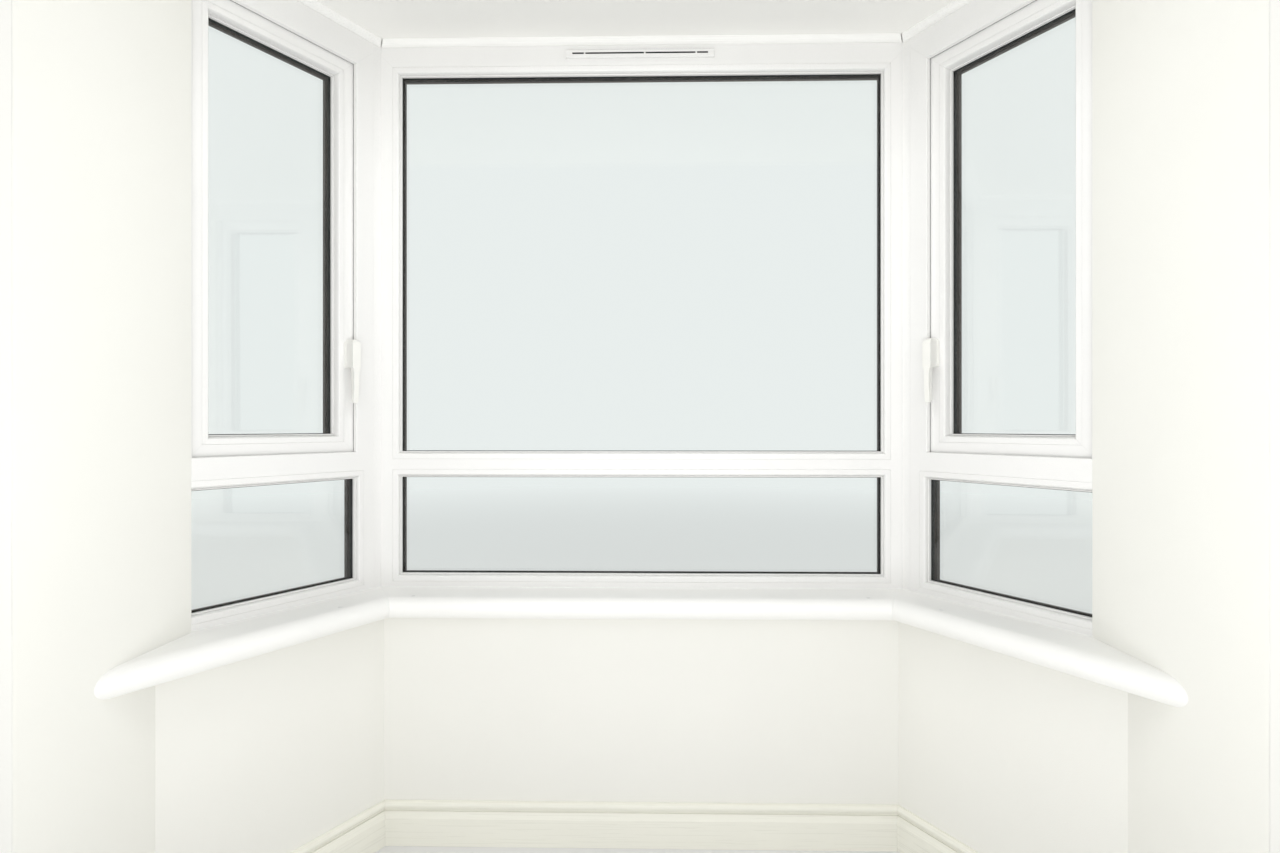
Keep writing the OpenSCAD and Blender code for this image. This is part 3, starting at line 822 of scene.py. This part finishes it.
class BAY_OT_glazing(bpy.types.Operator):
    """Builds the sealed units as two panes on a spacer bar, with their gaskets"""
    bl_idname = "bay.glazing"
    bl_label = "Glazing"

    def execute(self, context):
        colours = context.scene.bay_colours
        sizes = context.scene.bay_glazing
        glass = pane_glass(colours)
        bar = spacer_black(colours)
        rubber = seal_rubber(colours)
        for light, wall in LIGHTS.items():
            turn = TURNS[wall]
            low, high = turned_box(f"{light}_glass", turn)
            self.panes(light, turn, low, high, sizes, glass)
            self.spacer(light, turn, low, high, sizes, bar)
            self.gaskets(light, turn, low, high, sizes, rubber)
        return {"FINISHED"}

    def panes(self, light, turn, low, high, sizes, glass):
        """Two panes of one sealed unit."""
        bm = bmesh.new()
        add_box(bm, low, (high.x, low.y + sizes.pane_t, high.z))
        add_box(bm, (low.x, high.y - sizes.pane_t, low.z), high)
        piece = make_piece(f"{light}_panes", bm, turn, glass)
        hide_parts(f"{light}_glass")

    def spacer(self, light, turn, low, high, sizes, bar):
        """The bar that holds the panes apart, with a shallow channel along its top."""
        near = low.y + sizes.pane_t
        far = high.y - sizes.pane_t
        foot = sizes.spacer_in
        top = foot + sizes.spacer_h
        channel = top - 0.0006
        rim = 0.002
        slope_end = 0.003
        section = [(foot, near), (foot, far), (top, far), (top, far - rim)]
        section += [(channel, far - slope_end), (channel, near + slope_end)]
        section += [(top, near + rim), (top, near)]
        bm = bmesh.new()
        add_picture_frame(bm, low, high, section)
        make_piece(f"{light}_spacer_bar", bm, turn, bar)

    def gaskets(self, light, turn, low, high, sizes, rubber):
        """A lip of rubber beside the bead, and one beside the outer leg."""
        hidden = low.x - turned_box(f"{light}_beads", turn)[0].x
        inner = sizes.bead_w - hidden
        outer = sizes.leg_w - hidden
        wide = sizes.gasket_w
        deep = sizes.gasket_d
        bm = bmesh.new()
        room_lip = [(inner - wide, low.y), (inner - wide, low.y - deep), (inner, low.y - deep)]
        room_lip += arc((inner, low.y), wide, -90, 0, steps=5)
        add_picture_frame(bm, low, high, room_lip)
        yard_lip = [(outer - wide, high.y), (outer + wide, high.y), (outer + wide, high.y + deep / 2)]
        yard_lip += [(outer, high.y + deep), (outer - wide, high.y + deep)]
        add_picture_frame(bm, low, high, yard_lip)
        make_piece(f"{light}_gaskets", bm, turn, rubber)


class BAY_OT_fittings(bpy.types.Operator):
    """Finishes the handles and the vent and adds caps, sealant and a dark sheet of painted shade inside
    the vent
    """
    bl_idname = "bay.fittings"
    bl_label = "Handles, vent, caps and sealant"

    def execute(self, context):
        colours = context.scene.bay_colours
        coat = handle_coat(colours)
        for side in SIDES:
            finish_node(f"{side}_handle", coat)
        plain = white_plastic(colours)
        finish_node("trickle_vent", plain)
        sizes = context.scene.bay_fittings
        self.screw_caps(sizes, plain)
        # Painted shade in the vent's slots, made as a sheet of seal rubber
        self.vent_baffle(seal_rubber(colours))
        self.sealant(sizes, sealant_finish(colours))
        self.drain_caps(sizes, colours)
        return {"FINISHED"}

    def vent_baffle(self, dark):
        """A dark sheet behind the slots of the vent: painted shade that makes the slots look deep."""
        low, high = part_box("trickle_vent")
        edge = 0.004
        shade_sheet_front = high.y - 0.0015
        shade_sheet_back = high.y - 0.0003
        bm = bmesh.new()
        add_box(
            bm, (low.x + edge, shade_sheet_front, low.z + edge), (high.x - edge, shade_sheet_back, high.z - edge))
        # Painted shade: a dark sheet that stands for the shade inside the vent's slots
        make_piece("vent_baffle", bm, TURNS["front"], dark)

    def sealant(self, sizes, finish):
        """A concave line of sealant where the frames stand on the window boards."""
        z = board_top()
        section = [(0.0, 0.0)] + arc((-sizes.bead_r, sizes.bead_r), sizes.bead_r, 270, 360, steps=5)
        corner = inner_corner()
        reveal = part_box("bay_ceiling")[1].x
        for wall, turn in TURNS.items():
            face = inner_face(wall)
            rings = ([], [])
            for y, up in section:
                for ring, x in zip(rings, wall_ends(wall, corner, reveal, -y)):
                    ring.append((x, face + y, z + up))
            bm = bmesh.new()
            add_loft(bm, rings)
            make_piece(f"{wall}_foot_sealant", bm, turn, finish, smooth=60.0)

    def drain_caps(self, sizes, colours):
        """Hooded caps over the drainage slots on the weather side."""
        above_cill = 0.012
        lip_share = 0.6
        for wall, count in (("front", 3), ("left", 2), ("right", 2)):
            low, high = turned_box(f"{wall}_frame", TURNS[wall])
            film = brown_film(colours, wall)
            foot = low.z + above_cill
            out = high.y + sizes.drain_t
            hood = [(high.y, foot), (out, foot), (out, foot + sizes.drain_h * lip_share)]
            hood.append((high.y, foot + sizes.drain_h))
            bm = bmesh.new()
            for i in range(count):
                x = low.x + (high.x - low.x) * (i + 0.5) / count
                ends = (x - sizes.drain_w / 2, x + sizes.drain_w / 2)
                add_loft(bm, [[(end, y, up) for y, up in hood] for end in ends])
            make_piece(f"{wall}_drain_caps", bm, TURNS[wall], film, bevel=0.0008)

    def screw_caps(self, sizes, plastic):
        """Domed caps over the screws of the window boards."""
        angles = (0.0, 0.35, 0.7, 1.05, 1.4)
        dome = [(sizes.cap_r * math.cos(a), sizes.cap_h * math.sin(a)) for a in angles]
        up = Vector((0, 0, 1))
        for wall in TURNS:
            low, high = turned_box(f"{wall}_frame", TURNS[wall])
            depth = sizes.side_cap_in
            if wall == "front":
                depth = sizes.front_cap_in
                places = [-sizes.front_cap_x, sizes.front_cap_x]
            elif wall == "left":
                places = [high.x - sizes.side_cap_s]
            else:
                places = [low.x + sizes.side_cap_s]
            bm = bmesh.new()
            for x in places:
                add_turned(bm, Vector((x, low.y - depth, board_top())), up, dome)
            make_piece(f"{wall}_board_screw_caps", bm, TURNS[wall], plastic)


class BAY_OT_stage(bpy.types.Operator):
    """Lays the floor and sets the lamps, the backdrop and the camera"""
    bl_idname = "bay.stage"
    bl_label = "Stage"

    def execute(self, context):
        stage = context.scene.bay_stage
        colours = context.scene.bay_colours
        self.floor(stage, colours)
        self.backdrop(context, stage, colours)
        for name, place, aim, size, power in LAMPS:
            self.lamp(name, Vector(place), Vector(aim), size, getattr(stage, power))
        self.camera(context, stage)
        return {"FINISHED"}

    def floor(self, stage, colours):
        """A plain pale floor that fades into the backdrop far from the part."""
        bm = bmesh.new()
        reach = stage.floor_reach
        corners = ((-reach, -reach), (reach, -reach), (reach, reach), (-reach, reach))
        bm.faces.new([bm.verts.new((x, y, 0.0)) for x, y in corners])
        floor = place_mesh("stage_floor", bm)
        f = Finish("Stage floor", roughness=0.85)
        f.shader.inputs["Base Color"].default_value = full(colours.floor)
        away = f.node("ShaderNodeVectorMath", operation="LENGTH")
        f.link(f.place, away.inputs[0])
        haze = f.node("ShaderNodeEmission")
        haze.inputs["Color"].default_value = full(colours.sky)
        fade = f.between(away.outputs["Value"], stage.haze_from, stage.haze_to)
        floor.data.materials.append(f.two_shaders(fade, haze))

    def backdrop(self, context, stage, colours):
        """Even light, with a pale backdrop that the camera, mirrors and glass see."""
        world = bpy.data.worlds.new("Studio")
        context.scene.world = world
        world.use_nodes = True
        tree = world.node_tree
        light = tree.nodes["Background"]
        light.inputs["Color"].default_value = (1.0, 1.0, 1.0, 1.0)
        light.inputs["Strength"].default_value = stage.world_power
        seen = tree.nodes.new("ShaderNodeBackground")
        seen.inputs["Color"].default_value = full(colours.sky)
        path = tree.nodes.new("ShaderNodeLightPath")
        ray = path.outputs["Is Camera Ray"]
        for name in ("Is Glossy Ray", "Is Transmission Ray"):
            either = tree.nodes.new("ShaderNodeMath")
            either.operation = "MAXIMUM"
            tree.links.new(ray, either.inputs[0])
            tree.links.new(path.outputs[name], either.inputs[1])
            ray = either.outputs[0]
        choice = tree.nodes.new("ShaderNodeMixShader")
        tree.links.new(ray, choice.inputs["Fac"])
        tree.links.new(light.outputs[0], choice.inputs[1])
        tree.links.new(seen.outputs[0], choice.inputs[2])
        tree.links.new(choice.outputs[0], tree.nodes["World Output"].inputs["Surface"])

    def lamp(self, name, place, aim, size, power):
        """A square soft lamp that looks at a point."""
        data = bpy.data.lights.new(name, "AREA")
        data.shape = "SQUARE"
        data.size = size
        data.energy = power
        lamp = bpy.data.objects.new(name, data)
        lamp.visible_camera = False
        lamp.visible_transmission = False
        lamp.visible_glossy = False
        lamp.location = place
        lamp.rotation_euler = (aim - place).to_track_quat("-Z", "Y").to_euler()
        bpy.context.scene.collection.objects.link(lamp)

    def camera(self, context, stage):
        """The photograph's point of view, found from the bay's own edges."""
        data = bpy.data.cameras.new("Camera")
        data.sensor_width = 36.0
        data.lens = stage.lens
        data.clip_start = 0.05
        camera = bpy.data.objects.new("Camera", data)
        camera.location = stage.camera_at
        camera.rotation_euler = (math.radians(90), 0.0, stage.camera_turn)
        context.scene.collection.objects.link(camera)
        context.scene.camera = camera
        context.scene.view_settings.view_transform = "Standard"


class BAY_PT_panel(bpy.types.Panel):
    """Lists the steps and their settings"""
    bl_idname = "BAY_PT_panel"
    bl_label = "Bay window"
    bl_space_type = "VIEW_3D"
    bl_region_type = "UI"
    bl_category = "Bay Window"

    def draw(self, context):
        scene = context.scene
        for step in STEPS:
            self.layout.operator(step.bl_idname)
        for group_name in GROUPS:
            group = getattr(scene, group_name)
            box = self.layout.box()
            for name in group.__annotations__:
                box.prop(group, name)


GROUPS = {
    "bay_colours": BayColours,
    "bay_glazing": BayGlazing,
    "bay_fittings": BayFittings,
    "bay_roof": BayRoof,
    "bay_stage": BayStage,
}
STEPS = (
    BAY_OT_stage, BAY_OT_walls, BAY_OT_roof, BAY_OT_joinery, BAY_OT_frames, BAY_OT_glazing,
    BAY_OT_fittings,
)


def register():
    """Adds the settings, the steps and the panel."""
    for kind in (*GROUPS.values(), *STEPS, BAY_PT_panel):
        bpy.utils.register_class(kind)
    for name, kind in GROUPS.items():
        setattr(bpy.types.Scene, name, PointerProperty(type=kind))


def unregister():
    """Takes them away again."""
    for name in GROUPS:
        delattr(bpy.types.Scene, name)
    for kind in reversed((*GROUPS.values(), *STEPS, BAY_PT_panel)):
        bpy.utils.unregister_class(kind)


def main():
    """Dresses the part."""
    register()
    bpy.ops.bay.stage()
    bpy.ops.bay.walls()
    bpy.ops.bay.roof()
    bpy.ops.bay.joinery()
    bpy.ops.bay.frames()
    bpy.ops.bay.glazing()
    bpy.ops.bay.fittings()


if __name__ == "__main__":
    main()
